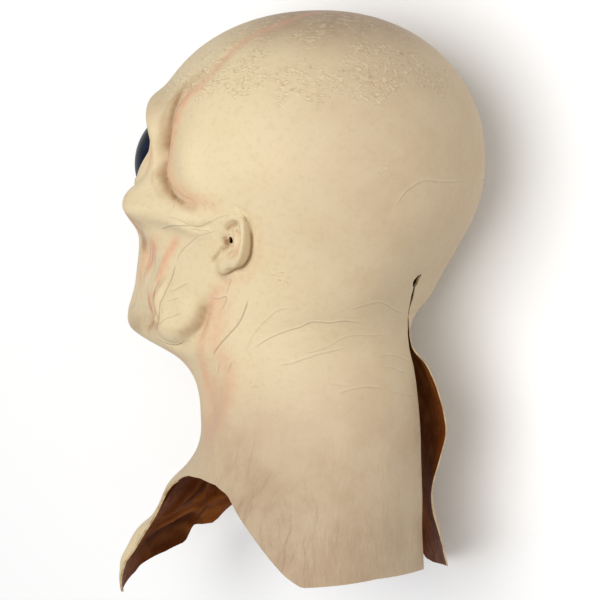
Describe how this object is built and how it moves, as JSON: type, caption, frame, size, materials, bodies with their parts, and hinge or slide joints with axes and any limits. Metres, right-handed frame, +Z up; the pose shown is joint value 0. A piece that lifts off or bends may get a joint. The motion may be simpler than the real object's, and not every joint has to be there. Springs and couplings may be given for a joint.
{
  "type": "alien mask",
  "caption": "Full-head rubber mask of a bald, grey-style alien with dark bulging eye lenses, small ears, a long neck and a shoulder bib, open down the nape.",
  "frame": {"origin": "under the middle of the box that the mask fills as it lies on its right side, on the surface it lies on", "axes": "-X the way the face looks, +Y from the shoulder bib to the crown, +Z up, which is the wearer's left"},
  "size_m": [0.2724, 0.4184, 0.1939],
  "materials": {
    "latex": "satin painted latex, beige outside and bare amber brown inside",
    "lens": "polished smoked plastic"
  },
  "bodies": {
    "root": {"latex_skin": "latex", "lens_left": "lens", "lens_right": "lens"}
  },
  "joints": []
}
